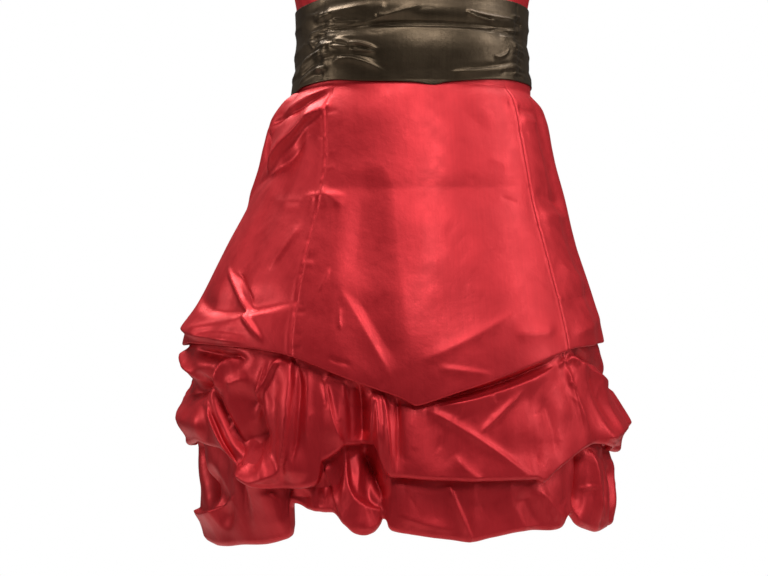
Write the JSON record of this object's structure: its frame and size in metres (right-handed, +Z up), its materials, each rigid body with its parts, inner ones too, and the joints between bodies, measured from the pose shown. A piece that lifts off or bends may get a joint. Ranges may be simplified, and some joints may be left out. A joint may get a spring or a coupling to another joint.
{
  "type": "flower girl dress",
  "caption": "Sleeveless satin dress with a gathered sash, a pointed gored overskirt and two picked-up pouf tiers, worn form, hollow and open.",
  "frame": {"origin": "middle of the shoulder line, where the wearer's shoulders carry the straps", "axes": "+Z up, the front faces -Y, +X is the right side as seen from the front"},
  "size_m": [0.374, 0.327, 0.6343],
  "materials": {
    "red_satin": "bright red satin, soft sheen",
    "bronze_satin": "dark bronze brown satin, soft sheen"
  },
  "bodies": {
    "root": {"bodice_front": "red_satin", "bodice_back_left": "red_satin", "bodice_back_right": "red_satin", "sash_front": "bronze_satin", "sash_back_left": "bronze_satin", "sash_back_right": "bronze_satin", "overskirt_front": "red_satin", "overskirt_side_left": "red_satin", "overskirt_side_right": "red_satin", "overskirt_back_left": "red_satin", "overskirt_back_right": "red_satin", "upper_pouf_front": "red_satin", "upper_pouf_side_left": "red_satin", "upper_pouf_side_right": "red_satin", "upper_pouf_back_left": "red_satin", "upper_pouf_back_right": "red_satin", "lower_pouf_front": "red_satin", "lower_pouf_side_left": "red_satin", "lower_pouf_side_right": "red_satin", "lower_pouf_back_left": "red_satin", "lower_pouf_back_right": "red_satin"}
  },
  "joints": []
}
